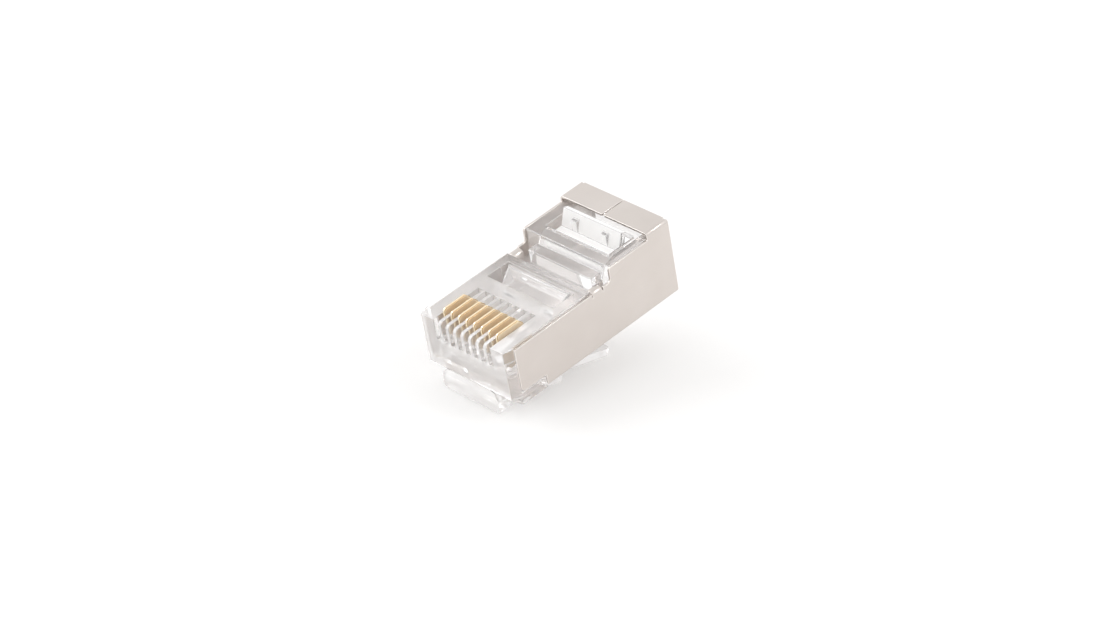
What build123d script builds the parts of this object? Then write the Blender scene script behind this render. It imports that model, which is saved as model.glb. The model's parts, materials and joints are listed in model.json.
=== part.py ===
"""Shielded eight-way modular plug, ready to crimp.

Every piece is drawn in the plug's own axes, in millimetres: X across the plug, Y from the front
face to the cable end, Z towards the contact side, with zero on the outside of the shield's base.
The finished plug is then laid down on its latch, the way it comes to rest on a table.
"""

import os
from math import asin, atan2, cos, degrees, hypot, radians, sin

from build123d import *

# Outside of the plug
plug_width = 11.7
plug_length = 22.25
contact_end_top = 6.5
cable_end_top = 7.75
roof_top = 8.48

# Folded sheet of the shield
sheet = 0.25
sheet_gap = 0.03
fold_radius = 0.4
wall_front = 1.27
wall_low_edge = 1.35
wall_front_corner = 0.5
wall_low_top = 6.22
wall_high_top = 7.73
wall_step_lead = 0.2
wall_step_radius = 0.35
base_front = 4.46
roof_length = 2.92
roof_overhang = 0.7
roof_seam_front = 0.22
roof_seam_rear = 0.08
roof_flap_round = 0.15
roof_relief_width = 0.3
roof_relief_depth = 0.15

# Curled tabs that hold the shield in the moulding's groove
tab_width = 1.25
tab_radius = 0.55
tab_tail = 0.3
tab_relief = 0.12

# Front end of the moulding
front_taper = 0.3
front_taper_length = 0.8
lead_in_depth = 1.12
lead_in_height = 1.05
lip_gap = 0.05

# Contact comb
ways = 8
pitch = 1.02
slot_width = 0.62
comb_length = 6.0
comb_floor = 4.3
rib_round = 0.5

# Contact blades
blade = 0.36
blade_gap = 0.05
blade_front = 1.2
blade_length = 3.35
blade_top = 7.1
blade_height = 3.5
blade_front_round = 0.35
blade_rear_slope = 0.55
blade_edge = 0.09
tine_depth = 0.45
tines = 3
crimp_travel = 0.6

# Wire channels and cable cavity
channel_size = 0.9
channel_corner = 0.2
channel_height = 3.0
channel_front = 1.0
cavity_width = 8.8
chamber_floor = 2.2
chamber_roof = 4.2
funnel_lead = 3.2
funnel_length = 3.6
entry_floor = 1.0
entry_roof = 7.1
rear_margin = 0.1
window_overcut = 0.5

# Crimp windows and the groove between them
wire_window_front = 7.8
wire_window_length = 2.75
wire_window_width = 9.0
groove_length = 1.55
groove_floor = 4.85
bridge_width = 8.5
bridge_length = 1.2
jacket_frame = 1.45
jacket_window_length = 3.45
jacket_window_width = 8.46
jacket_window_margin = 0.18

# Strain-relief bars, each on a web at one edge of its window
web_gap = 0.06
bar_side_gap = 0.35
wire_bar_web = 0.36
wire_bar_height = 0.95
wire_bar_drop = 1.15
wire_bar_reach = 1.75
wire_bar_taper = 0.5
jacket_bar_thickness = 0.6
jacket_bar_hinge_height = 6.62
jacket_toe_length = 1.22
jacket_plate_height = 1.9
jacket_plate_lean = 20.0
gusset_width = 0.72
gusset_spread = 4.0
gusset_top = 1.25

# Latch: a rounded nose on the housing and the lever that flexes behind it
nose_width = 7.7
nose_bulge = 0.22
nose_top = 1.0
nose_drop = 1.75
nose_cup = 0.15
nose_round = 0.8
nose_brow = 0.45
nose_corner = 1.1
nose_root = 0.5
latch_hinge_behind = 1.65
latch_hinge_below = 0.72
latch_thickness = 0.85
latch_slope = 17.0
latch_length = 15.05
latch_width = 6.02
lever_width = 3.25
shoulder_at = 7.2
ramp_at = 3.6
shoulder_rise = 0.3
lever_end_round = 0.5
hinge_gap = 0.05

# Places that follow from the sizes above
half_width = plug_width / 2
core_width = plug_width - 2 * (sheet + sheet_gap)
base_top = sheet + sheet_gap
roof_under = roof_top - sheet - sheet_gap
housing_rear = plug_length - rear_margin
flange_rear = wall_front - lip_gap
lip_top = wall_low_edge - lip_gap
lip_rear = base_front - lip_gap
roof_front = plug_length - roof_length
jacket_window_front = roof_front - jacket_window_margin - jacket_window_length
cable_end_front = jacket_window_front - jacket_frame
funnel_front = jacket_window_front - funnel_lead
wall_step = cable_end_front - wall_step_lead
groove_front = cable_end_front - bridge_length - groove_length
tab_middle = groove_front + groove_length / 2
way_places = [(way - (ways - 1) / 2) * pitch for way in range(ways)]
comb_half = (ways - 1) / 2 * pitch + slot_width / 2
hinge_y = latch_hinge_behind
hinge_z = -latch_hinge_below
nose_rear = hinge_y - nose_cup
far_above = roof_top + plug_width
pick_margin = 0.01


def side_plane(x=0.0):
    """Plane of a side view: its own x runs along the plug's Y, its own y along the plug's Z."""
    return Plane(origin=(x, 0, 0), x_dir=(0, 1, 0), z_dir=(1, 0, 0))


def front_plane(y=0.0):
    """Plane of a view from the front: its own x runs along X and its own y along Z."""
    return Plane(origin=(0, y, 0), x_dir=(1, 0, 0), z_dir=(0, -1, 0))


def corner(sketch, across, up):
    """Corner of an open sketch that lies nearest to a point of its own plane."""
    return sketch.vertices().sort_by_distance((across, up))[0]


# Nose of the latch: a side profile cut to a rounded front view
with BuildPart() as nose:
    with BuildSketch(side_plane()) as nose_side:
        with BuildLine():
            Polyline(
                (lead_in_depth, nose_root),
                (0, nose_top),
                (-nose_bulge, nose_top - nose_brow),
                (-nose_bulge, -nose_drop),
                (nose_rear, -nose_drop),
                (nose_rear, 0),
                close=True,
            )
        make_face()
        fillet(corner(nose_side, -nose_bulge, -nose_drop), nose_round)
        fillet(corner(nose_side, -nose_bulge, nose_top - nose_brow), nose_brow)
    extrude(amount=nose_width / 2, both=True)
    with BuildSketch(front_plane(-nose_bulge)):
        with Locations((0, (nose_top - nose_drop) / 2)):
            RectangleRounded(nose_width, nose_top + nose_drop, nose_corner)
    extrude(amount=-(lead_in_depth + nose_rear + nose_bulge), mode=Mode.INTERSECT)

# Clear moulding
with BuildPart() as housing:
    # Core inside the shield, from its side view
    with BuildSketch(side_plane()):
        with BuildLine():
            Polyline(
                (0, lead_in_height),
                (0, contact_end_top),
                (cable_end_front, contact_end_top),
                (cable_end_front, cable_end_top),
                (roof_front + roof_overhang, cable_end_top),
                (roof_front + roof_overhang, roof_under),
                (housing_rear, roof_under),
                (housing_rear, base_top),
                (lip_rear, base_top),
                (lip_rear, 0),
                (lead_in_depth, 0),
                close=True,
            )
        make_face()
    extrude(amount=core_width / 2, both=True)
    lengthwise = housing.edges().filter_by(Axis.Y)
    for height in (base_top, roof_under):
        corners = lengthwise.filter_by_position(Axis.Z, height - pick_margin, height + pick_margin)
        fillet(corners, fold_radius)
    # Flange and lip at the full width of the plug, ahead of the shield
    with BuildSketch(side_plane()):
        with BuildLine():
            Polyline(
                (0, lead_in_height),
                (0, contact_end_top),
                (flange_rear, contact_end_top),
                (flange_rear, lip_top),
                (lip_rear, lip_top),
                (lip_rear, 0),
                (lead_in_depth, 0),
                close=True,
            )
        make_face()
    extrude(amount=half_width, both=True)
    # Sides of the front taper in a little, to lead into the jack
    with BuildSketch(Plane.XY.offset(-far_above)):
        for side in (-1, 1):
            with BuildLine():
                Polyline(
                    (side * half_width, front_taper_length),
                    (side * (half_width - front_taper), 0),
                    (side * half_width, 0),
                    close=True,
                )
            make_face()
    extrude(amount=2 * far_above, mode=Mode.SUBTRACT)
    # Flat wire chamber that opens in a funnel to the cable entry
    with BuildSketch(side_plane()):
        with BuildLine():
            Polyline(
                (wire_window_front, chamber_floor),
                (funnel_front, chamber_floor),
                (funnel_front + funnel_length, entry_floor),
                (plug_length, entry_floor),
                (plug_length, entry_roof),
                (funnel_front + funnel_length, entry_roof),
                (funnel_front, chamber_roof),
                (wire_window_front, chamber_roof),
                close=True,
            )
        make_face()
    extrude(amount=cavity_width / 2, both=True, mode=Mode.SUBTRACT)
    # Crimp windows, and the groove that takes the shield's tabs
    for front, length, width, floor in (
        (wire_window_front, wire_window_length, wire_window_width, chamber_roof - window_overcut),
        (jacket_window_front, jacket_window_length, jacket_window_width, entry_roof - window_overcut),
        (groove_front, groove_length, plug_width, groove_floor),
    ):
        with BuildSketch(Plane.XY.offset(floor)):
            with Locations((0, front + length / 2)):
                Rectangle(width, length)
        extrude(amount=far_above - floor, mode=Mode.SUBTRACT)
    # The bridge behind the groove stops short of the walls, so that the tabs have room to curl
    pocket_width = (plug_width - bridge_width) / 2
    with BuildSketch(Plane.XY.offset(groove_floor)):
        for side in (-1, 1):
            with Locations((side * (bridge_width + pocket_width) / 2, cable_end_front - bridge_length / 2)):
                Rectangle(pocket_width, bridge_length)
    extrude(amount=contact_end_top - groove_floor, mode=Mode.SUBTRACT)
    # Comb recess, then the ribs that stand between the contacts
    with BuildSketch(Plane.XY.offset(comb_floor)):
        with Locations((0, comb_length / 2)):
            Rectangle(2 * comb_half, comb_length)
    extrude(amount=far_above - comb_floor, mode=Mode.SUBTRACT)
    for way_left, way_right in zip(way_places, way_places[1:]):
        rib_left = way_left + slot_width / 2
        with BuildSketch(side_plane(rib_left)) as rib_side:
            with BuildLine():
                Polyline(
                    (0, comb_floor),
                    (0, contact_end_top),
                    (comb_length, contact_end_top),
                    (comb_length, comb_floor),
                    close=True,
                )
            make_face()
            fillet(corner(rib_side, 0, contact_end_top), rib_round)
        extrude(amount=way_right - way_left - slot_width)
    # Deep slots for the blades and the wire channels under them
    deep_floor = blade_top - blade_height - crimp_travel - blade_gap
    for x in way_places:
        with BuildSketch(Plane.XY.offset(deep_floor)):
            with Locations((x, blade_front + blade_length / 2)):
                Rectangle(blade + 2 * blade_gap, blade_length + 2 * blade_gap)
        extrude(amount=comb_floor - deep_floor, mode=Mode.SUBTRACT)
        with BuildSketch(front_plane(channel_front)):
            with Locations((x, channel_height)):
                RectangleRounded(channel_size, channel_size, channel_corner)
        extrude(amount=-(wire_window_front - channel_front), mode=Mode.SUBTRACT)
    # Nose of the latch, with the hollow that the lever's rounded root turns in
    add(nose.part)
    with BuildSketch(side_plane()):
        with Locations((hinge_y, hinge_z)):
            Circle(latch_thickness / 2 + hinge_gap)
    extrude(amount=half_width, both=True, mode=Mode.SUBTRACT)

# Latch lever, drawn in the plane of its own slope
latch_plane = Plane(
    origin=(0, hinge_y, hinge_z),
    x_dir=(1, 0, 0),
    z_dir=(0, sin(radians(latch_slope)), cos(radians(latch_slope))),
)
latch_side = Plane(
    origin=(0, hinge_y, hinge_z),
    x_dir=(0, cos(radians(latch_slope)), -sin(radians(latch_slope))),
    z_dir=(1, 0, 0),
)
with BuildPart() as latch:
    with BuildSketch(latch_side):
        Circle(latch_thickness / 2)
        with BuildLine():
            Polyline(
                (0, -latch_thickness / 2),
                (shoulder_at, -latch_thickness / 2),
                (shoulder_at, latch_thickness / 2 + shoulder_rise),
                (ramp_at, latch_thickness / 2),
                (0, latch_thickness / 2),
                close=True,
            )
        make_face()
    extrude(amount=latch_width / 2, both=True)
    with BuildSketch(latch_plane.offset(-latch_thickness / 2)) as lever_plan:
        with BuildLine():
            Polyline(
                (-lever_width / 2, shoulder_at - latch_thickness),
                (lever_width / 2, shoulder_at - latch_thickness),
                (lever_width / 2, latch_length),
                (-lever_width / 2, latch_length),
                close=True,
            )
        make_face()
        fillet(lever_plan.vertices().group_by(Axis.Y)[-1], lever_end_round)
    extrude(amount=latch_thickness)

# Wire bar: a wedge on a web along the rear edge of the front window
wire_web_radius = wire_bar_web / 2
wire_hinge_y = wire_window_front + wire_window_length - web_gap - wire_web_radius
wire_hinge_z = contact_end_top - wire_web_radius
wire_bar_front = wire_hinge_y - wire_bar_reach
wire_bar_half = wire_window_width / 2 - bar_side_gap
with BuildPart() as wire_bar:
    with BuildSketch(side_plane()):
        with Locations((wire_hinge_y, wire_hinge_z)):
            Circle(wire_web_radius)
        with BuildLine():
            Polyline(
                (wire_hinge_y, contact_end_top),
                (wire_bar_front, contact_end_top - wire_bar_drop),
                (wire_bar_front, contact_end_top - wire_bar_drop - wire_bar_height),
                (wire_hinge_y, contact_end_top - wire_bar_web),
                close=True,
            )
        make_face()
    extrude(amount=wire_bar_half, both=True)
    # Ends draw in towards the free edge
    with BuildSketch(Plane.XY.offset(-far_above)):
        with BuildLine():
            Polyline(
                (-wire_bar_half, wire_hinge_y + wire_web_radius),
                (wire_bar_half, wire_hinge_y + wire_web_radius),
                (wire_bar_half - wire_bar_taper, wire_bar_front),
                (wire_bar_taper - wire_bar_half, wire_bar_front),
                close=True,
            )
        make_face()
    extrude(amount=2 * far_above, mode=Mode.INTERSECT)

# Jacket bar: a toe on the web at the front of the rear window, a leaning plate and two gussets
jacket_hinge_y = jacket_window_front + web_gap + jacket_bar_thickness / 2
jacket_heel_y = jacket_hinge_y + jacket_toe_length
lean = radians(jacket_plate_lean)
jacket_bar_half = jacket_window_width / 2 - bar_side_gap
jacket_floor = jacket_bar_hinge_height + jacket_bar_thickness / 2
plate_top_y = jacket_heel_y + jacket_plate_height * sin(lean)
plate_top_z = jacket_floor + jacket_plate_height * cos(lean)
with BuildPart() as jacket_bar:
    with BuildSketch(side_plane()):
        with Locations((jacket_hinge_y, jacket_bar_hinge_height)):
            Circle(jacket_bar_thickness / 2)
        with BuildLine():
            Polyline(
                (jacket_hinge_y, jacket_floor - jacket_bar_thickness),
                (jacket_hinge_y, jacket_floor),
                (jacket_heel_y, jacket_floor),
                (plate_top_y, plate_top_z),
                (
                    plate_top_y + jacket_bar_thickness * cos(lean),
                    plate_top_z - jacket_bar_thickness * sin(lean),
                ),
                (jacket_heel_y + jacket_bar_thickness, jacket_floor - jacket_bar_thickness),
                close=True,
            )
        make_face()
    extrude(amount=jacket_bar_half, both=True)
    for x in (-gusset_spread / 2, gusset_spread / 2):
        with BuildSketch(side_plane(x)):
            with BuildLine():
                Polyline(
                    (jacket_heel_y, jacket_floor),
                    (jacket_heel_y, jacket_floor + gusset_top),
                    (jacket_heel_y + gusset_top * sin(lean) / cos(lean), jacket_floor + gusset_top),
                    close=True,
                )
            make_face()
        extrude(amount=gusset_width / 2, both=True)

# Shield: a folded tube with a seam along its roof, cut back to its walls and base
with BuildPart() as shield:
    tube_length = plug_length - wall_front
    with BuildSketch(front_plane(wall_front)):
        with Locations((0, roof_top / 2)):
            RectangleRounded(plug_width, roof_top, fold_radius)
            RectangleRounded(
                plug_width - 2 * sheet,
                roof_top - 2 * sheet,
                fold_radius - sheet,
                mode=Mode.SUBTRACT,
            )
    extrude(amount=-tube_length)
    # Walls end in a low edge over the contacts and a higher one ahead of the roof
    with BuildSketch(side_plane()) as above_walls:
        with BuildLine():
            Polyline(
                (0, wall_low_top),
                (wall_step, wall_low_top),
                (wall_step, wall_high_top),
                (roof_front, wall_high_top),
                (roof_front, far_above),
                (0, far_above),
                close=True,
            )
        make_face()
        fillet(corner(above_walls, wall_step, wall_low_top), wall_step_radius)
        fillet(corner(above_walls, wall_step, wall_high_top), wall_step_radius)
    extrude(amount=plug_width, both=True, mode=Mode.SUBTRACT)
    # Base starts behind the moulding's lip, and the walls' front lower corners are round
    with BuildSketch(side_plane()) as below_walls:
        with BuildLine():
            Polyline(
                (0, wall_low_top),
                (wall_front, wall_low_top),
                (wall_front, wall_low_edge),
                (base_front, wall_low_edge),
                (base_front, 0),
                (0, 0),
                close=True,
            )
        make_face()
        fillet(corner(below_walls, wall_front, wall_low_edge), wall_front_corner)
    extrude(amount=plug_width, both=True, mode=Mode.SUBTRACT)
    # Seam between the roof flaps, a little open at the front, and the relief at the end of each fold
    with BuildSketch(Plane.XY.offset(roof_top - 2 * sheet)):
        with BuildLine():
            Polyline(
                (-roof_seam_front / 2, roof_front),
                (roof_seam_front / 2, roof_front),
                (roof_seam_rear / 2, plug_length),
                (-roof_seam_rear / 2, plug_length),
                close=True,
            )
        make_face()
        for side in (-1, 1):
            with Locations((side * (half_width - fold_radius), plug_length)):
                Rectangle(roof_relief_width, 2 * roof_relief_depth)
    extrude(amount=4 * sheet, mode=Mode.SUBTRACT)
    flap_corners = shield.edges().filter_by(Axis.Z).filter_by_position(
        Axis.Y, roof_front - pick_margin, roof_front + pick_margin
    )
    fillet(flap_corners.filter_by_position(Axis.X, -roof_seam_front, roof_seam_front), roof_flap_round)
    # Tabs: relief cuts in the wall, then a strip that curls inwards and down
    tab_root = wall_low_top - tab_radius + sheet / 2
    with BuildSketch(Plane.XY.offset(tab_root)):
        with Locations((-half_width, tab_middle), (half_width, tab_middle)):
            Rectangle(4 * sheet, tab_width + 2 * tab_relief)
    extrude(amount=far_above - tab_root, mode=Mode.SUBTRACT)
    for side in (-1, 1):
        wall_middle = side * (half_width - sheet / 2)
        curl_middle = wall_middle - side * (tab_radius - sheet / 2)
        tail_middle = wall_middle - 2 * side * (tab_radius - sheet / 2)
        with BuildSketch(front_plane(tab_middle)):
            with BuildLine():
                Line((wall_middle, tab_root - sheet), (wall_middle, tab_root))
                CenterArc((curl_middle, tab_root), tab_radius - sheet / 2, 90 - 90 * side, 180 * side)
                Line((tail_middle, tab_root), (tail_middle, tab_root - tab_tail))
            trace(line_width=sheet)
        extrude(amount=tab_width / 2, both=True)

# Contact blades: a stamped profile with pointed tines, coined along its top edge
blade_rear = blade_front + blade_length
blade_foot = blade_top - blade_height
tine_pitch = blade_length / tines
contacts = []
for x in way_places:
    with BuildPart() as contact:
        with BuildSketch(side_plane(x)) as contact_side:
            with BuildLine():
                teeth = []
                for tine in range(tines):
                    teeth.append((blade_rear - (tine + 0.5) * tine_pitch, blade_foot))
                    teeth.append((blade_rear - (tine + 1) * tine_pitch, blade_foot + tine_depth))
                Polyline(
                    (blade_front, blade_top),
                    (blade_rear - blade_rear_slope, blade_top),
                    (blade_rear, blade_top - blade_rear_slope),
                    (blade_rear, blade_foot + tine_depth),
                    *teeth,
                    close=True,
                )
            make_face()
            fillet(corner(contact_side, blade_front, blade_top), blade_front_round)
        extrude(amount=blade / 2, both=True)
        top_edges = contact.faces().filter_by(Axis.X).edges().filter_by_position(
            Axis.Z, blade_top - blade_rear_slope + pick_margin, blade_top
        )
        chamfer(top_edges, blade_edge)
    contacts.append(contact.part)

# The plug rests on its nose and on the lever's end: tilt of the line that touches both
slope = radians(latch_slope)
lever_foot_y = hinge_y + latch_length * cos(slope) - latch_thickness / 2 * sin(slope)
lever_foot_z = hinge_z - latch_length * sin(slope) - latch_thickness / 2 * cos(slope)
nose_round_y = nose_round - nose_bulge
nose_round_z = nose_round - nose_drop
run = lever_foot_y - nose_round_y
fall = nose_round_z - lever_foot_z
tilt = degrees(atan2(fall, run) - asin(nose_round / hypot(run, fall)))

pieces = {
    "housing": housing.part,
    "latch": latch.part,
    "wire_bar": wire_bar.part,
    "jacket_bar": jacket_bar.part,
    "shield": shield.part,
}
for number, contact_part in enumerate(contacts, start=1):
    pieces[f"contact_{number}"] = contact_part

lying = Location((0, 0, 0), (tilt, 0, 0))
box = Compound([piece.moved(lying) for piece in pieces.values()]).bounding_box()
resting = Location((0, -box.center().Y, -box.min.Z)) * lying

os.makedirs("parts", exist_ok=True)
for name, piece in pieces.items():
    placed = piece.moved(resting)
    placed.label = name
    export_step(placed, f"parts/{name}.step")

print(f"tilt {tilt:.3f} degrees, shift {-box.center().Y:.4f} {-box.min.Z:.4f} mm")
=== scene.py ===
# %% [markdown]
# # A clear shielded modular plug
# The real plug is three materials: a clear polycarbonate moulding, a folded sheet of
# nickel-plated metal and eight gold-plated blades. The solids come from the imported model, in
# metres, and stay where they are. This lesson gives every solid the soft edges of a moulded,
# folded or stamped piece, then a finish, a table to lie on and light to be seen in.

# %% Load the frame
import json
import math

import bmesh
import bpy
from mathutils import Matrix, Vector
from mathutils.bvhtree import BVHTree


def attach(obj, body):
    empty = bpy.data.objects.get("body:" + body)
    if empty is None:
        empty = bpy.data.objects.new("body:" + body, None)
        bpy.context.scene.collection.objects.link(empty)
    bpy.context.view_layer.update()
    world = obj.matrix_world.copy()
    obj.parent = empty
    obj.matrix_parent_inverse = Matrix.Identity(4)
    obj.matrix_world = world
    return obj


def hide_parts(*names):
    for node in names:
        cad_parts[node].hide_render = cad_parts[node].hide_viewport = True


MM = 0.001
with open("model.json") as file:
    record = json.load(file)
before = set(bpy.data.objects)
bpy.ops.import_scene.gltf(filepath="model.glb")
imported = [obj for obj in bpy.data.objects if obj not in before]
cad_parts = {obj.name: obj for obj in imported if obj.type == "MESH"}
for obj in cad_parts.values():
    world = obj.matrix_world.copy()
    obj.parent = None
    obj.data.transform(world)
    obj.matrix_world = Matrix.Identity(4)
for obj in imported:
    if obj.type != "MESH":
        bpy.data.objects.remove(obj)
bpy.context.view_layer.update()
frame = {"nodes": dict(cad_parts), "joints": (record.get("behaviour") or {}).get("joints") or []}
print("solids:", ", ".join(sorted(frame["nodes"])))

# %% [markdown]
# ## The plug's own axes
# The plug lies on its latch, so its length is pitched up from the table. Some choices below are
# easier along the plug itself: across, back from the front face, and up towards the contacts.
# The contacts slide straight down when they are crimped, and the latch turns about a hinge
# whose place on the plug is known, so those two joints give the axes and the zero point.

# %% Plug axes
LATCH_HINGE_ON_PLUG = Vector((0.0, 1.65, -0.72)) * MM

joints = {joint["name"]: joint for joint in frame["joints"]}
plug_up = -Vector(joints["contact_1_crimp"]["axis"]).normalized()
plug_across = Vector((1.0, 0.0, 0.0))
plug_back = plug_up.cross(plug_across)
plug_axes = Matrix((plug_across, plug_back, plug_up))
plug_zero = Vector(joints["latch_press"]["pos_m"]) - plug_axes.transposed() @ LATCH_HINGE_ON_PLUG


def on_plug(point):
    """A point of the scene in millimetres along the plug: across, back, up."""
    return plug_axes @ (point - plug_zero) / MM


print("pitch in degrees:", round(math.degrees(math.asin(plug_back.z)), 2))

# %% [markdown]
# ## Where the camera stands
# The photograph looks down at the front right corner through a long lens, from about a third of
# a metre, so the plug's long edges hardly converge. A camera could be tracked to an empty, but
# three angles, a distance and an aim point say the same and stay easy to change.

# %% Camera
CAMERA_AZIMUTH = math.radians(45.13)
CAMERA_ELEVATION = math.radians(26.63)
CAMERA_ROLL = math.radians(1.5)
CAMERA_DISTANCE = 350 * MM
CAMERA_AIM = Vector((0.49, -0.48, 6.9)) * MM
LENS_MM = 121.0
SENSOR_MM = 36.0
NEAREST_SEEN = 10 * MM
FARTHEST_SEEN = 20.0

back = Vector((
    math.sin(CAMERA_AZIMUTH) * math.cos(CAMERA_ELEVATION),
    -math.cos(CAMERA_AZIMUTH) * math.cos(CAMERA_ELEVATION),
    math.sin(CAMERA_ELEVATION),
))
camera = bpy.data.objects.new("camera", bpy.data.cameras.new("camera"))
camera.data.lens = LENS_MM
camera.data.sensor_width = SENSOR_MM
camera.data.clip_start = NEAREST_SEEN
camera.data.clip_end = FARTHEST_SEEN
looking = (-back).to_track_quat("-Z", "Y").to_matrix().to_4x4()
camera.matrix_world = (
    Matrix.Translation(CAMERA_AIM + back * CAMERA_DISTANCE)
    @ looking
    @ Matrix.Rotation(CAMERA_ROLL, 4, "Z")
)
bpy.context.scene.collection.objects.link(camera)
bpy.context.scene.camera = camera
print("camera at mm:", [round(place / MM, 1) for place in camera.matrix_world.translation])

# %% [markdown]
# ## Colours and nodes
# Colours are picked as sRGB hex values, the way a screen shows them, but shaders add light in
# linear values, so one function turns one into the other. A second small function adds a node
# with its settings and links, which keeps each material below about as long as its description.

# %% Colour and node helpers
WHITE = "#FFFFFF"


def linear(hex_colour):
    """Linear RGBA of an sRGB colour written as #RRGGBB."""
    parts = [int(hex_colour[place:place + 2], 16) / 255 for place in (1, 3, 5)]
    return (*[((p + 0.055) / 1.055) ** 2.4 if p > 0.04045 else p / 12.92 for p in parts], 1.0)


def add_node(tree, kind, inputs=None, **settings):
    """Adds a node; an input is a plain value, or an output socket that is linked to it."""
    node = tree.nodes.new(kind)
    for name, value in settings.items():
        setattr(node, name, value)
    for name, value in (inputs or {}).items():
        if isinstance(value, bpy.types.NodeSocket):
            tree.links.new(value, node.inputs[name])
        else:
            node.inputs[name].default_value = value
    return node


def new_material(name):
    """An empty node material and its tree."""
    material = bpy.data.materials.new(name)
    material.use_nodes = True
    material.node_tree.nodes.clear()
    return material, material.node_tree


def per_metre(size_mm):
    """Texture scale at which one feature of a pattern is about this many millimetres."""
    return 1 / (size_mm * MM)


print("white is", [round(part, 3) for part in linear(WHITE)])

# %% [markdown]
# ## Clear polycarbonate
# Polycarbonate is moulded in a polished steel tool. It bends light more than window glass, which
# is why its inner edges show so well. Its faces are smooth but never perfectly flat: the melt
# leaves a slow ripple of about two millimetres. Seen from outside, every face also has a faint
# white veil of fine scratches and bloom, which lifts the dark reflections. The front of the plug
# gets a thicker veil than the back, which is painted light for the light that the comb's many
# faces scatter. A mix of transparent and glossy would be quicker but would show no bent edges,
# so the shader really refracts, and only the outer side of a face gets a share of white. Lamps
# shine straight through, because bent light would never find its way to the metal inside. One
# function makes all the grades: the ordinary one, a polished one, one for the slots' sides that
# turns milky behind the blades, as painted light in the slots' shade, a paler one for rounded
# edges, whose white is a painted highlight, and a milky one.

# %% Clear polycarbonate material
PLASTIC_COLOUR = "#FEFDFD"
PLASTIC_IOR = 1.585
PLASTIC_ROUGHNESS = (0.005, 0.02)
RIPPLE_MM = 2.2
RIPPLE_HEIGHT_MM = 0.02
HAZE_MM = 0.6
SHADOW_COVER = 0.08
# Stretches back from the front face: over the first the painted light of the front fades out, over
# the second the painted light in the slots behind the blades sets in.
FRONT_TO_BACK_MM = (7.5, 11.0)
SLOT_FRONT_TO_BACK_MM = (3.4, 4.6)


def moulded_polycarbonate(name, clear_in_front, clear_behind, turns_mm=FRONT_TO_BACK_MM):
    """A grade of clear plastic whose clearness turns from one share to another along the plug."""
    material, tree = new_material(name)
    place = add_node(tree, "ShaderNodeTexCoord")
    ripple = add_node(tree, "ShaderNodeTexNoise", {
        "Vector": place.outputs["Object"], "Scale": per_metre(RIPPLE_MM), "Detail": 1.0,
    })
    haze = add_node(tree, "ShaderNodeTexNoise", {
        "Vector": place.outputs["Object"], "Scale": per_metre(HAZE_MM), "Detail": 3.0,
    })
    gloss = add_node(tree, "ShaderNodeMapRange", {
        "Value": haze.outputs["Fac"], "From Min": 0.3, "From Max": 0.75,
        "To Min": PLASTIC_ROUGHNESS[0], "To Max": PLASTIC_ROUGHNESS[1],
    })
    bump = add_node(tree, "ShaderNodeBump", {
        "Height": ripple.outputs["Fac"], "Strength": 0.12, "Distance": RIPPLE_HEIGHT_MM * MM,
    })
    behind = add_node(tree, "ShaderNodeVectorMath", {
        0: place.outputs["Object"], 1: plug_back,
    }, operation="DOT_PRODUCT")
    start = plug_zero.dot(plug_back)
    outside = add_node(tree, "ShaderNodeMapRange", {
        "Value": behind.outputs["Value"],
        "From Min": start + turns_mm[0] * MM, "From Max": start + turns_mm[1] * MM,
        "To Min": clear_in_front, "To Max": clear_behind,
    })
    side = add_node(tree, "ShaderNodeNewGeometry")
    clearness = add_node(tree, "ShaderNodeMath", {
        0: outside.outputs["Result"], 1: side.outputs["Backfacing"],
    }, operation="MAXIMUM")
    rays = add_node(tree, "ShaderNodeLightPath")
    cover = add_node(tree, "ShaderNodeMapRange", {
        "Value": rays.outputs["Is Shadow Ray"], "To Min": 1.0, "To Max": SHADOW_COVER,
    })
    shader = add_node(tree, "ShaderNodeBsdfPrincipled", {
        "Base Color": linear(PLASTIC_COLOUR),
        "Roughness": gloss.outputs["Result"],
        "IOR": PLASTIC_IOR,
        "Transmission Weight": clearness.outputs["Value"],
        "Alpha": cover.outputs["Result"],
        "Normal": bump.outputs["Normal"],
    })
    add_node(tree, "ShaderNodeOutputMaterial", {"Surface": shader.outputs["BSDF"]})
    return material


# The front's lower clearness gives it a whiter veil: painted light for what the comb's many faces
# scatter.
polycarbonate = moulded_polycarbonate("clear_polycarbonate", 0.6, 0.82)
polished = moulded_polycarbonate("polished_polycarbonate", 0.8, 0.8)
# Behind the blades the slots' sides turn whiter: painted light in the slots' shade.
slot_side = moulded_polycarbonate("slot_side_polycarbonate", 0.8, 0.45, SLOT_FRONT_TO_BACK_MM)
# Behind the front the rounded edges are whiter than the faces: a painted highlight that draws
# their lines.
painted_highlight_edge = moulded_polycarbonate("painted_highlight_edge_polycarbonate", 0.6, 0.5)
milky = moulded_polycarbonate("milky_polycarbonate", 0.42, 0.42)
for finish in (polycarbonate, polished, slot_side, painted_highlight_edge, milky):
    print("made", finish.name)

# %% [markdown]
# ## Seated polycarbonate
# Where the moulding presses against the shield, there is hardly any air between them, so light
# passes straight on to the metal instead of being mirrored at the plastic's inner face. The
# eight wire channels deep in the comb take this finish too: at full strength each is a row of
# lenses, while on the real plug they are hardly seen. Deleting such faces would leave the
# moulding open, so they stay and are only made faint.

# %% Seated polycarbonate material
SEATED_ROUGHNESS = 0.05
SEATED_COVER = (0.15, 0.3)


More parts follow.
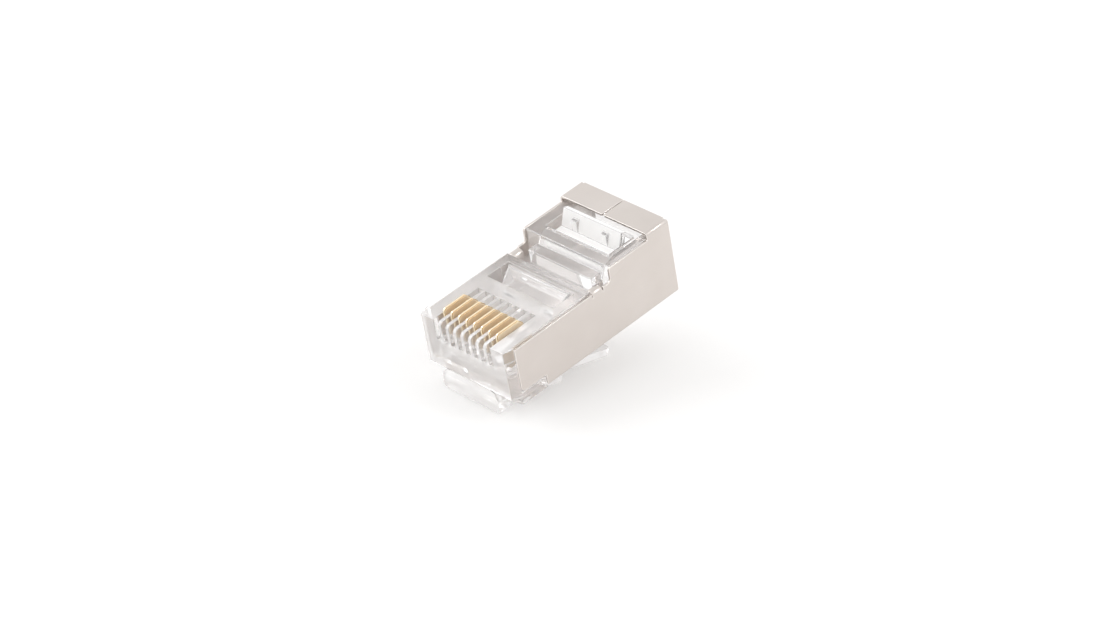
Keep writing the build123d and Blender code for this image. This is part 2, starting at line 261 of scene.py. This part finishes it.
def seated_polycarbonate():
    """Clear plastic without air behind it, as faint as the patches where it really touches."""
    material, tree = new_material("seated_polycarbonate")
    place = add_node(tree, "ShaderNodeTexCoord")
    contact = add_node(tree, "ShaderNodeTexNoise", {
        "Vector": place.outputs["Object"], "Scale": per_metre(RIPPLE_MM), "Detail": 1.0,
    })
    cover = add_node(tree, "ShaderNodeMapRange", {
        "Value": contact.outputs["Fac"], "From Min": 0.3, "From Max": 0.7,
        "To Min": SEATED_COVER[0], "To Max": SEATED_COVER[1],
    })
    shader = add_node(tree, "ShaderNodeBsdfPrincipled", {
        "Base Color": linear(PLASTIC_COLOUR),
        "Roughness": SEATED_ROUGHNESS,
        "IOR": PLASTIC_IOR,
        "Transmission Weight": 1.0,
        "Alpha": cover.outputs["Result"],
    })
    add_node(tree, "ShaderNodeOutputMaterial", {"Surface": shader.outputs["BSDF"]})
    return material


seated = seated_polycarbonate()
print("made", seated.name, "with", len(seated.node_tree.nodes), "nodes")

# %% [markdown]
# ## Frosted polycarbonate
# The faces that a crimp tool presses are spark-eroded in the mould and come out frosted: the same
# plastic, but its fine pits scatter the light, so it looks white instead of clear. Rough
# refraction would give that too, but only after very many samples, so most of the light is
# scattered at the surface instead.

# %% Frosted polycarbonate material
FROST_COLOUR = "#FFFEFD"
FROST_ROUGHNESS = 0.35
FROST_CLEARNESS = 0.1
PIT_MM = 0.06
PIT_DEPTH_MM = 0.006


def frosted_polycarbonate():
    """Plastic with a pitted surface that scatters most of the light."""
    material, tree = new_material("frosted_polycarbonate")
    place = add_node(tree, "ShaderNodeTexCoord")
    pits = add_node(tree, "ShaderNodeTexNoise", {
        "Vector": place.outputs["Object"], "Scale": per_metre(PIT_MM), "Detail": 2.0,
    })
    bump = add_node(tree, "ShaderNodeBump", {
        "Height": pits.outputs["Fac"], "Strength": 0.2, "Distance": PIT_DEPTH_MM * MM,
    })
    shader = add_node(tree, "ShaderNodeBsdfPrincipled", {
        "Base Color": linear(FROST_COLOUR),
        "Roughness": FROST_ROUGHNESS,
        "IOR": PLASTIC_IOR,
        "Transmission Weight": FROST_CLEARNESS,
        "Normal": bump.outputs["Normal"],
    })
    add_node(tree, "ShaderNodeOutputMaterial", {"Surface": shader.outputs["BSDF"]})
    return material


frosted = frosted_polycarbonate()
print("made", frosted.name, "with", len(frosted.node_tree.nodes), "nodes")

# %% [markdown]
# ## Satin nickel
# The shield is thin copper alloy with a nickel plate, rolled before it was cut and folded. The
# roll leaves a very fine grain along the strip, which spreads reflections into a satin sheen,
# and the plate is a warm grey. An image of rolled metal could show that, but stretched noise
# needs no file and keeps its real size. The grain is far too fine to show, so it is drawn about
# five times as coarse, and a slow cloudiness keeps the large wall from looking like one flat
# tone. Cut and folded edges are smoother, and their grade is also painted much paler than the
# plate: a painted highlight that draws bright lines along the sheet's edges.

# %% Satin nickel material
GRAIN_MM = 0.05
GRAIN_DEPTH_MM = 0.004
GRAIN_STRETCH = 30
CLOUD_MM = 5.0


def satin_nickel(name, darkest, lightest, smoothest, roughest):
    """A grade of nickel plate with a grain along the strip."""
    material, tree = new_material(name)
    place = add_node(tree, "ShaderNodeTexCoord")
    along = add_node(tree, "ShaderNodeMapping", {
        "Vector": place.outputs["Object"], "Scale": (1.0, 1 / GRAIN_STRETCH, 1.0),
    })
    grain = add_node(tree, "ShaderNodeTexNoise", {
        "Vector": along.outputs["Vector"], "Scale": per_metre(GRAIN_MM), "Detail": 2.0,
    })
    cloud = add_node(tree, "ShaderNodeTexNoise", {
        "Vector": place.outputs["Object"], "Scale": per_metre(CLOUD_MM), "Detail": 2.0,
    })
    tone = add_node(tree, "ShaderNodeMix", {
        "Factor": cloud.outputs["Fac"], "A": linear(darkest), "B": linear(lightest),
    }, data_type="RGBA")
    sheen = add_node(tree, "ShaderNodeMapRange", {
        "Value": grain.outputs["Fac"], "From Min": 0.25, "From Max": 0.75,
        "To Min": smoothest, "To Max": roughest,
    })
    bump = add_node(tree, "ShaderNodeBump", {
        "Height": grain.outputs["Fac"], "Strength": 0.12, "Distance": GRAIN_DEPTH_MM * MM,
    })
    shader = add_node(tree, "ShaderNodeBsdfPrincipled", {
        "Base Color": tone.outputs["Result"],
        "Metallic": 1.0,
        "Roughness": sheen.outputs["Result"],
        "Normal": bump.outputs["Normal"],
    })
    add_node(tree, "ShaderNodeOutputMaterial", {"Surface": shader.outputs["BSDF"]})
    return material


nickel = satin_nickel("satin_nickel", "#D4CCC6", "#E0D9D4", 0.27, 0.37)
# The edges' grade is painted much paler than the plate: a painted highlight along every cut and
# fold.
cut_nickel_painted_highlight = satin_nickel("cut_nickel_painted_highlight", "#F0EAE6", "#F6F2EE", 0.15, 0.22)
print("made", nickel.name, "and", cut_nickel_painted_highlight.name)

# %% [markdown]
# ## Gold plate
# The blades are stamped from bronze strip and plated with gold over nickel. The punch drags
# fine lines down their sides, which come out matt, and the ridge is bright. Its rounded nose is
# coined smoother still and painted nearly white, a painted glint, and the sloped shoulders
# between ridge and sides are painted dark brown, a painted shade line. One shader with a
# painted mask could hold all four, but a grade for each kind of face is plainer. Gold tints
# everything that it reflects, so two blades facing each other look browner than one seen
# alone: the shader gives that by itself.

# %% Gold plate material
DRAG_MM = 0.08
DRAG_DEPTH_MM = 0.004
DRAG_STRETCH = 12


def gold_plate(name, deepest, palest, smoothest, roughest):
    """A grade of gold plate with drag lines down the blade."""
    material, tree = new_material(name)
    place = add_node(tree, "ShaderNodeTexCoord")
    down = add_node(tree, "ShaderNodeMapping", {
        "Vector": place.outputs["Object"], "Scale": (1.0, 1.0, 1 / DRAG_STRETCH),
    })
    drag = add_node(tree, "ShaderNodeTexNoise", {
        "Vector": down.outputs["Vector"], "Scale": per_metre(DRAG_MM), "Detail": 2.0,
    })
    tone = add_node(tree, "ShaderNodeMix", {
        "Factor": drag.outputs["Fac"], "A": linear(deepest), "B": linear(palest),
    }, data_type="RGBA")
    polish = add_node(tree, "ShaderNodeMapRange", {
        "Value": drag.outputs["Fac"], "From Min": 0.25, "From Max": 0.75,
        "To Min": smoothest, "To Max": roughest,
    })
    bump = add_node(tree, "ShaderNodeBump", {
        "Height": drag.outputs["Fac"], "Strength": 0.1, "Distance": DRAG_DEPTH_MM * MM,
    })
    shader = add_node(tree, "ShaderNodeBsdfPrincipled", {
        "Base Color": tone.outputs["Result"],
        "Metallic": 1.0,
        "Roughness": polish.outputs["Result"],
        "Normal": bump.outputs["Normal"],
    })
    add_node(tree, "ShaderNodeOutputMaterial", {"Surface": shader.outputs["BSDF"]})
    return material


sheared_gold = gold_plate("sheared_gold_plate", "#F5E1C2", "#FBEDD7", 0.6, 0.75)
bright_gold = gold_plate("bright_gold_plate", "#FBE9C4", "#FFF3DA", 0.2, 0.28)
# The nose's grade is painted nearly white: a painted glint.
coined_gold_painted_glint = gold_plate("coined_gold_painted_glint_plate", "#FDEFD6", "#FFF8EA", 0.1, 0.16)
# The shoulders' grade is painted dark brown: painted shade between ridge and side.
painted_shade_gold = gold_plate("painted_shade_gold_plate", "#A67C4A", "#B68E5C", 0.34, 0.44)
for finish in (sheared_gold, bright_gold, coined_gold_painted_glint, painted_shade_gold):
    print("made", finish.name)

# %% [markdown]
# ## Soft edges
# No real edge is a mathematical line: a moulding has the radius of its tool, a folded sheet is
# rounded by its plating, a stamped blade is coined. Those small radii catch the light and draw
# the object's lines. A Bevel modifier could round them, but the operator also says which faces
# are new, and these get a finish of their own. Each solid is copied, its triangles are joined
# back into flat faces, and the sharp edges are bevelled by a real radius. Faces with notches are
# first cut into convex parts: two bevels may meet in a tight corner, and in a convex part that
# stays a tiny flaw, while in a face shaped like a ring it could close the ring's hole. A corner
# can also be so blunt that its bevel throws a vertex off the solid, and such a vertex is put
# back onto it.

# %% A copy with soft edges
WELD = 0.0005 * MM
FLAT = math.radians(1.0)
SHARP = math.radians(28)


def soft_edged(node, edge_mm, segments, face_finish, edge_finish, body, stays_sharp=None):
    """Copies a solid, rounds its sharp edges and lets the copy stand for it."""
    radius = edge_mm * MM
    shape = bmesh.new()
    shape.from_mesh(frame["nodes"][node].data)
    bmesh.ops.remove_doubles(shape, verts=shape.verts, dist=WELD)
    bmesh.ops.dissolve_limit(shape, angle_limit=FLAT, verts=shape.verts, edges=shape.edges)
    bmesh.ops.connect_verts_concave(shape, faces=shape.faces)
    sharp = [e for e in shape.edges if len(e.link_faces) == 2 and e.calc_face_angle() > SHARP]
    if stays_sharp:
        sharp = [e for e in sharp if not stays_sharp(on_plug((e.verts[0].co + e.verts[1].co) / 2))]
    solid = BVHTree.FromBMesh(shape)
    rounded = bmesh.ops.bevel(
        shape, geom=sharp, offset=radius, offset_type="OFFSET", affect="EDGES",
        segments=segments, profile=0.5, material=-1, clamp_overlap=False, loop_slide=False,
        face_strength_mode="ALL",
    )
    for face in rounded["faces"]:
        face.material_index = 1
    for vertex in shape.verts:
        nearest, _, _, distance = solid.find_nearest(vertex.co)
        if distance > radius / 2:
            vertex.co = nearest
    bmesh.ops.recalc_face_normals(shape, faces=shape.faces)
    if shape.calc_volume(signed=True) < 0:
        bmesh.ops.reverse_faces(shape, faces=shape.faces)
    mesh = bpy.data.meshes.new(node + "_soft")
    shape.to_mesh(mesh)
    shape.free()
    for face in mesh.polygons:
        face.use_smooth = True
    mesh.materials.append(face_finish)
    mesh.materials.append(edge_finish)
    piece = bpy.data.objects.new(node + "_soft", mesh)
    bpy.context.scene.collection.objects.link(piece)
    flat_faces = piece.modifiers.new("flat_faces_stay_flat", "WEIGHTED_NORMAL")
    flat_faces.mode = "FACE_AREA"
    flat_faces.weight = 100
    flat_faces.use_face_influence = True
    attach(piece, body)
    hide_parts(node)
    return piece


print("edges over", round(math.degrees(SHARP)), "degrees are rounded")

# %% [markdown]
# ## Clear pieces
# The housing, the latch lever and the two strain-relief bars are one moulding on the real plug.
# They are separate here because they bend at their webs. The latch is milky from its thick
# root on, and the wire bar is polished. The wire channels deep in the comb are formed by thin
# steel pins, so their edges stay sharp.

# %% Clear pieces
COMB_HALF_WIDTH_MM = 4.4
CHANNEL_LENGTH_MM = (0.2, 9.0)
CHANNEL_TOP_MM = 4.6
MOULDED_EDGE_MM = 0.05
LATCH_EDGE_MM = 0.08
MOULDED_SEGMENTS = 3


def in_channel(place):
    """Whether an edge belongs to the wire channels under the comb's slots."""
    along = CHANNEL_LENGTH_MM[0] < place.y < CHANNEL_LENGTH_MM[1]
    return along and place.z < CHANNEL_TOP_MM and abs(place.x) < COMB_HALF_WIDTH_MM


clear_pieces = {}
for node, body, edge_mm, finish, stays_sharp in (
    ("housing", "plug", MOULDED_EDGE_MM, polycarbonate, in_channel),
    ("latch", "latch", LATCH_EDGE_MM, milky, None),
    ("wire_bar", "wire_bar", MOULDED_EDGE_MM, polished, None),
    ("jacket_bar", "jacket_bar", MOULDED_EDGE_MM, polycarbonate, None),
):
    # Every clear piece's rounded edges take the paler grade, a painted highlight.
    clear_pieces[node] = soft_edged(
        node, edge_mm, MOULDED_SEGMENTS, finish, painted_highlight_edge, body, stays_sharp,
    )
    print(node, "has", len(clear_pieces[node].data.polygons), "faces")

# %% [markdown]
# ## Seated, polished, milky and frosted faces
# Which finish a face has is a matter of where it lies and which way it looks. A painted mask
# could hold that too, but a rule still works when the solid's faces are cut differently. The
# housing's left side lies tight against the shield, while the right side has a little air. The
# slots' sides, and the flange in front of the shield, are polished enough to show glints of
# gold. The slots' floors and ends are milky: painted light that lifts the shade in the slots.
# The two bars are frosted where a crimp tool pushes, apart from the tops of the jacket bar's
# gussets, and the wire bar's frosted front is whiter partly as painted light, for the light
# that it refracts from the front. The rounded edges keep their paler grade everywhere, a
# painted highlight that draws the moulding's lines. Stretches below are back from the front
# face, then up from the plug's zero point.

# %% Seated, polished, milky and frosted faces
SEATED_MM = (5.5, 5.7)
FLANGE_END_MM = 4.5
SLOT_MM = ((0.02, 6.1), (3.5, 6.46))
CHANNEL_MM = ((0.02, 7.7), (2.4, 3.5))
GUSSET_TOP_MM = 8.17
SAME_LEVEL_MM = 0.05
STRAIGHT = 0.9
SLANTED = 0.5


def refinish(piece, finish, chosen):
    """Gives the flat faces that the test chooses another finish, and leaves the rounded edges."""
    piece.data.materials.append(finish)
    index = len(piece.data.materials) - 1
    count = 0
    for face in piece.data.polygons:
        if face.material_index == 0 and chosen(on_plug(face.center), plug_axes @ face.normal):
            face.material_index = index
            count += 1
    print(piece.name, "has", count, "faces of", finish.name)


def in_comb(place, part):
    """Whether a point lies in a part of the comb, given by its two stretches."""
    (front, end), (low, high) = part
    return front < place.y < end and low < place.z < high and abs(place.x) < COMB_HALF_WIDTH_MM


def beside_shield(place, look):
    return look.x < -STRAIGHT and SEATED_MM[0] < -place.x < SEATED_MM[1]


def on_flange(place, look):
    return look.x > SLANTED and place.x > SEATED_MM[1] and place.y < FLANGE_END_MM


def on_slot_side(place, look):
    return abs(look.x) > STRAIGHT and in_comb(place, SLOT_MM)


def looks_forward(place, look):
    return look.y < -STRAIGHT


def pressed(place, look):
    shelf = look.z > STRAIGHT and abs(place.z - GUSSET_TOP_MM) > SAME_LEVEL_MM
    return shelf or looks_forward(place, look)


housing = clear_pieces["housing"]
refinish(housing, seated, beside_shield)
refinish(housing, seated, lambda place, look: in_comb(place, CHANNEL_MM))
refinish(housing, polished, on_flange)
refinish(housing, slot_side, on_slot_side)
# The slots' floors and ends are whitened: painted light in the slots' shade.
refinish(housing, milky, lambda place, look: in_comb(place, SLOT_MM))
# The wire bar's frosted front is whiter partly as painted light, for light that it refracts from
# the front.
refinish(clear_pieces["wire_bar"], frosted, looks_forward)
refinish(clear_pieces["jacket_bar"], frosted, pressed)

# %% [markdown]
# ## Shield and contacts
# The sheet is only a quarter of a millimetre thick, so its edges get a smaller radius than the
# moulding's. The blades' edges are smaller still, and their grade of gold follows from the way
# that a face looks: sideways, sloping or up and forward. The sloping shoulders get painted shade
# and the nose a painted glint.

# %% Shield and contacts
SHEET_EDGE_MM = 0.04
BLADE_EDGE_MM = 0.03
METAL_SEGMENTS = 2
SHOULDER = 0.3
NOSE = 0.2

# The sheet's rounded edges take the paler grade of nickel, a painted highlight.
piece = soft_edged("shield", SHEET_EDGE_MM, METAL_SEGMENTS, nickel, cut_nickel_painted_highlight, "plug")
print(piece.name, "has", len(piece.data.polygons), "faces")
contacts = sorted(node for node in frame["nodes"] if node.startswith("contact_"))
for node in contacts:
    piece = soft_edged(node, BLADE_EDGE_MM, METAL_SEGMENTS, bright_gold, bright_gold, node)
    refinish(piece, sheared_gold, lambda place, look: abs(look.x) > STRAIGHT)
    # The sloping shoulders get the dark grade: painted shade.
    refinish(piece, painted_shade_gold, lambda place, look: SHOULDER < abs(look.x) < STRAIGHT)
    # The nose gets the near-white grade: a painted glint.
    refinish(piece, coined_gold_painted_glint, lambda place, look: look.y < -NOSE and look.z > NOSE)
print(len(contacts), "blades of", len(piece.data.polygons), "faces")

# %% [markdown]
# ## Table
# The plug lies on a white table in a bright studio. The table's own colour would render as pale
# grey, so part of what the camera, reflections and refractions see of it is a plain white glow,
# and the rest is an ordinary matt surface that takes the soft shadow.

# %% Table
TABLE_RADIUS = 3.0
TABLE_SIDES = 64
TABLE_COLOUR = "#FDFCFB"
TABLE_GLOW = 0.3


def seen_directly(tree):
    """1 for rays that show a surface to the eye: camera, mirror and glass rays."""
    rays = add_node(tree, "ShaderNodeLightPath")
    mirror = add_node(tree, "ShaderNodeMath", {
        0: rays.outputs["Is Camera Ray"], 1: rays.outputs["Is Glossy Ray"],
    }, operation="MAXIMUM")
    return add_node(tree, "ShaderNodeMath", {
        0: mirror.outputs["Value"], 1: rays.outputs["Is Transmission Ray"],
    }, operation="MAXIMUM").outputs["Value"]


def white_table():
    """A matt white that glows a little for the eye alone."""
    material, tree = new_material("white_table")
    share = add_node(tree, "ShaderNodeMath", {
        0: seen_directly(tree), 1: TABLE_GLOW,
    }, operation="MULTIPLY")
    matt = add_node(tree, "ShaderNodeBsdfDiffuse", {"Color": linear(TABLE_COLOUR)})
    glow = add_node(tree, "ShaderNodeEmission", {"Color": linear(WHITE), "Strength": 1.0})
    mixed = add_node(tree, "ShaderNodeMixShader", {
        0: share.outputs["Value"], 1: matt.outputs["BSDF"], 2: glow.outputs["Emission"],
    })
    add_node(tree, "ShaderNodeOutputMaterial", {"Surface": mixed.outputs["Shader"]})
    return material


shape = bmesh.new()
bmesh.ops.create_circle(shape, cap_ends=True, radius=TABLE_RADIUS, segments=TABLE_SIDES)
table = bpy.data.objects.new("table", bpy.data.meshes.new("table"))
shape.to_mesh(table.data)
shape.free()
table.data.materials.append(white_table())
bpy.context.scene.collection.objects.link(table)
print("table", 2 * TABLE_RADIUS, "m across")

# %% [markdown]
# ## Soft boxes
# One wide soft box stands at the front left, so that the shadow falls to the right. A small weak
# one behind on the right only draws bright lines along the metal's edges. Point lamps would do
# for matt things, but metal and clear plastic mirror the lamp itself, so both are round disks.

# %% Lamps
PLUG_MIDDLE = Vector((0.0, 0.0, 7 * MM))


def soft_box(name, place, size, watts):
    """A round lamp of this size in metres, turned towards the plug."""
    lamp = bpy.data.objects.new(name, bpy.data.lights.new(name, "AREA"))
    lamp.data.shape = "DISK"
    lamp.data.size = size
    lamp.data.energy = watts
    turned = (PLUG_MIDDLE - Vector(place)).to_track_quat("-Z", "Y").to_matrix().to_4x4()
    lamp.matrix_world = Matrix.Translation(place) @ turned
    bpy.context.scene.collection.objects.link(lamp)
    print(name, "is", size, "m wide")


soft_box("key_light", place=(-0.65, -0.43, 0.75), size=0.7, watts=2.4)
soft_box("edge_light", place=(0.57, 0.34, 0.74), size=0.2, watts=0.9)

# %% [markdown]
# ## White room
# The white room around the table is the world. Reflections and refractions see it white, with a
# slightly darker ceiling, and it lights matt surfaces a little less, so that the soft boxes
# still give the plug its shape. A world of one even tone would be simpler, but the renderer
# doesn't sample such a world as a lamp, and the plastic then comes out darker.

# %% World
ROOM_LEVEL = 0.95
CEILING_STARTS = 0.8
CEILING_LEVEL = 0.9


def white_room():
    """A world that is white to the eye and a little weaker as a lamp."""
    world = bpy.data.worlds.new("white_room")
    world.use_nodes = True
    tree = world.node_tree
    tree.nodes.clear()
    place = add_node(tree, "ShaderNodeTexCoord")
    height = add_node(tree, "ShaderNodeSeparateXYZ", {"Vector": place.outputs["Generated"]})
    ceiling = add_node(tree, "ShaderNodeMapRange", {
        "Value": height.outputs["Z"], "From Min": CEILING_STARTS, "From Max": 1.0,
        "To Min": 1.0, "To Max": CEILING_LEVEL,
    })
    seen = add_node(tree, "ShaderNodeBackground", {
        "Color": linear(WHITE), "Strength": ceiling.outputs["Result"],
    })
    fill = add_node(tree, "ShaderNodeBackground", {
        "Color": linear(WHITE), "Strength": ROOM_LEVEL,
    })
    mixed = add_node(tree, "ShaderNodeMixShader", {
        0: seen_directly(tree), 1: fill.outputs["Background"], 2: seen.outputs["Background"],
    })
    add_node(tree, "ShaderNodeOutputWorld", {"Surface": mixed.outputs["Shader"]})
    return world


bpy.context.scene.world = white_room()
bpy.context.scene.view_settings.view_transform = "Standard"
print("room level", ROOM_LEVEL)

# %% [markdown]
# ## Light paths
# Light that enters clear plastic bounces inside it many times before it comes out. With the
# default number of bounces most of those paths stop early and leave black patches, so the
# limits are raised.

# %% Light paths
PATH_BOUNCES = 40

light_paths = bpy.context.scene.cycles
light_paths.max_bounces = PATH_BOUNCES
light_paths.transmission_bounces = PATH_BOUNCES
light_paths.glossy_bounces = PATH_BOUNCES
light_paths.diffuse_bounces = PATH_BOUNCES
light_paths.transparent_max_bounces = PATH_BOUNCES
print("light may bounce", PATH_BOUNCES, "times")
